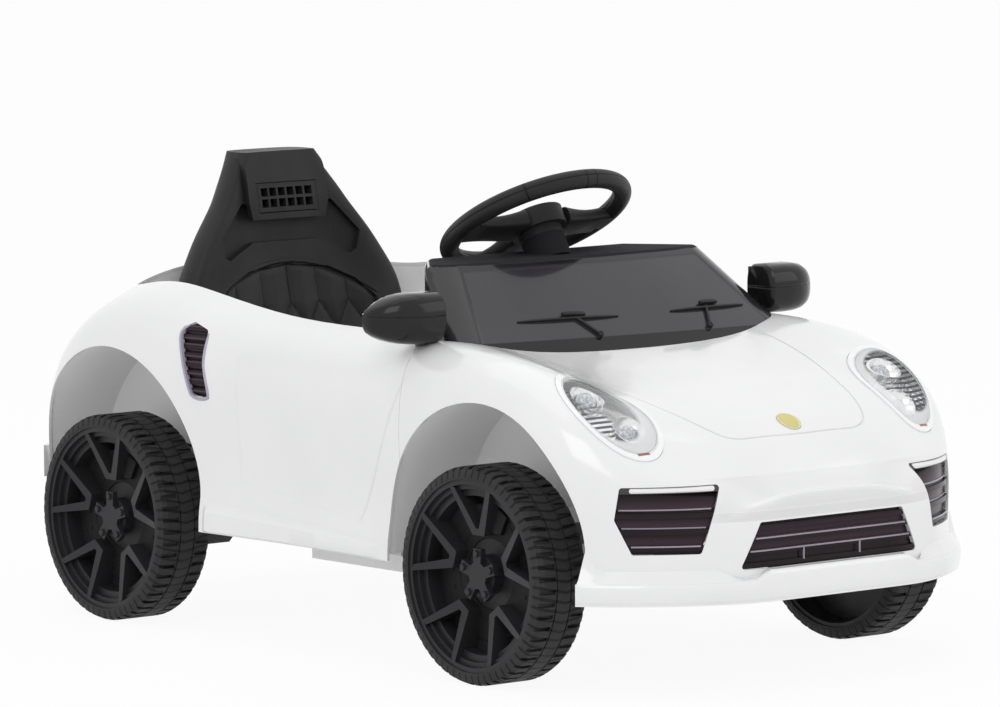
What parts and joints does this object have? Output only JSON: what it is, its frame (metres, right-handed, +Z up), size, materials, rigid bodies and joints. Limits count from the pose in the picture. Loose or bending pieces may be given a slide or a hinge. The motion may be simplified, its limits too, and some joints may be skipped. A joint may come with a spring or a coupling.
{
  "type": "electric ride-on car",
  "caption": "Child's electric ride-on sports car with moulded body shells, dark windscreen cowl, spoked wheels, linked steering, seat, pedal and dash switches.",
  "frame": {"origin": "middle of the length and width at floor level, under the tyres", "axes": "+Y from the nose to the tail, +Z up, +X to the left of the driver"},
  "size_m": [0.5942, 1.062, 0.4945],
  "materials": {
    "body_white": "glossy moulded",
    "pan_white": "satin moulded",
    "well_white": "satin moulded",
    "screen_black": "glossy moulded",
    "dash_black": "grained moulded",
    "seat_black": "satin moulded",
    "badge_grey": "smooth",
    "grille_dark": "smooth",
    "wheel_black": "satin moulded",
    "button_grey": "smooth",
    "button_red": "smooth",
    "steel": "zinc plated",
    "steel_black": "black coated",
    "drive_black": "moulded",
    "motor_steel": "plated can",
    "battery_grey": "moulded case",
    "lamp_clear": "clear moulded",
    "lamp_chrome": "mirror plated",
    "strip_white": "smooth",
    "lamp_red": "smooth translucent",
    "mirror_black": "glossy moulded",
    "mirror_silver": "silvered",
    "tyre_black": "matt moulded",
    "rim_black": "satin moulded"
  },
  "bodies": {
    "car": {"battery": "battery_grey", "centre_grille": "grille_dark", "charge_socket": "drive_black", "chassis_pan": "pan_white", "dash_panel": "dash_black", "fog_grille_left": "grille_dark", "fog_grille_right": "grille_dark", "front_axle_beam": "steel_black", "front_body": "body_white", "gearbox": "drive_black", "headlamp_cover_left": "lamp_clear", "headlamp_cover_right": "lamp_clear", "headlamp_reflector_left": "lamp_chrome", "headlamp_reflector_right": "lamp_chrome", "hood_badge": "badge_grey", "light_strip_left": "strip_white", "light_strip_right": "strip_white", "mirror_glass_left": "mirror_silver", "mirror_glass_right": "mirror_silver", "mirror_housing_left": "mirror_black", "mirror_housing_right": "mirror_black", "motor": "motor_steel", "pedal_bracket": "drive_black", "rear_axle": "steel", "rear_body": "body_white", "seat_back": "seat_black", "seat_base": "seat_black", "side_vent_left": "grille_dark", "side_vent_right": "grille_dark", "tail_lamp_left": "lamp_red", "tail_lamp_right": "lamp_red", "wheel_well_front_left": "well_white", "wheel_well_front_right": "well_white", "wheel_well_rear_left": "well_white", "wheel_well_rear_right": "well_white", "windscreen": "screen_black"},
    "steering": {"steering_wheel": "wheel_black", "steering_hub": "wheel_black", "steering_shaft": "steel"},
    "music_button": {"music_button": "button_grey"},
    "horn_button": {"horn_button": "button_grey"},
    "knuckle_right": {"knuckle_right": "steel_black"},
    "knuckle_left": {"knuckle_left": "steel_black"},
    "tie_rod": {"tie_rod": "steel_black"},
    "wheel_front_right": {"tyre_front_right": "tyre_black", "rim_front_right": "rim_black", "hub_cap_front_right": "rim_black"},
    "wheel_front_left": {"tyre_front_left": "tyre_black", "rim_front_left": "rim_black", "hub_cap_front_left": "rim_black"},
    "wheel_rear_right": {"tyre_rear_right": "tyre_black", "rim_rear_right": "rim_black", "hub_cap_rear_right": "rim_black", "drive_dog": "drive_black"},
    "wheel_rear_left": {"tyre_rear_left": "tyre_black", "rim_rear_left": "rim_black", "hub_cap_rear_left": "rim_black"},
    "accelerator_pedal": {"accelerator_pedal": "wheel_black"},
    "power_switch": {"power_switch": "button_red"},
    "direction_switch": {"direction_switch": "button_grey"}
  },
  "joints": [
    {"name": "steering_turn", "type": "hinge", "parent": "car", "child": "steering", "pos_m": [0, -0.063, 0.437], "axis": [0, 0.5, 0.866], "range_deg": [-35, 35]},
    {"name": "music_press", "type": "slide", "parent": "steering", "child": "music_button", "axis": [0, -0.5, -0.866], "range_m": [0, 0.002], "stiffness_N_per_m": 400},
    {"name": "horn_press", "type": "slide", "parent": "steering", "child": "horn_button", "axis": [0, -0.5, -0.866], "range_m": [0, 0.002], "stiffness_N_per_m": 400},
    {"name": "knuckle_right_turn", "type": "hinge", "parent": "car", "child": "knuckle_right", "pos_m": [-0.185, -0.284, 0.14], "axis": [0, 0, 1], "range_deg": [-21, 21]},
    {"name": "knuckle_left_turn", "type": "hinge", "parent": "car", "child": "knuckle_left", "pos_m": [0.185, -0.284, 0.14], "axis": [0, 0, 1], "range_deg": [-21, 21]},
    {"name": "tie_rod_turn", "type": "hinge", "parent": "knuckle_left", "child": "tie_rod", "pos_m": [0.185, -0.204, 0.098], "axis": [0, 0, 1], "range_deg": [-21, 21]},
    {"name": "front_right_roll", "type": "hinge", "parent": "knuckle_right", "child": "wheel_front_right", "pos_m": [-0.242, -0.284, 0.11], "axis": [1, 0, 0], "continuous": true},
    {"name": "front_left_roll", "type": "hinge", "parent": "knuckle_left", "child": "wheel_front_left", "pos_m": [0.242, -0.284, 0.11], "axis": [1, 0, 0], "continuous": true},
    {"name": "rear_right_roll", "type": "hinge", "parent": "car", "child": "wheel_rear_right", "pos_m": [-0.236, 0.341, 0.11], "axis": [1, 0, 0], "continuous": true},
    {"name": "rear_left_roll", "type": "hinge", "parent": "car", "child": "wheel_rear_left", "pos_m": [0.236, 0.341, 0.11], "axis": [1, 0, 0], "continuous": true},
    {"name": "pedal_press", "type": "hinge", "parent": "car", "child": "accelerator_pedal", "pos_m": [-0.07, -0.022, 0.107], "axis": [1, 0, 0], "range_deg": [0, 15], "stiffness_Nm_per_rad": 0.4, "springref_deg": -20.05},
    {"name": "power_rock", "type": "hinge", "parent": "car", "child": "power_switch", "pos_m": [-0.078, -0.054, 0.352], "axis": [1, 0, 0], "range_deg": [-6, 6]},
    {"name": "direction_rock", "type": "hinge", "parent": "car", "child": "direction_switch", "pos_m": [-0.112, -0.054, 0.352], "axis": [1, 0, 0], "range_deg": [-6, 6]}
  ],
  "couplings": [
    {"joint": "knuckle_right_turn", "follows": "steering_turn", "ratio": 0.6},
    {"joint": "knuckle_left_turn", "follows": "steering_turn", "ratio": 0.6},
    {"joint": "tie_rod_turn", "follows": "steering_turn", "ratio": -0.6}
  ]
}
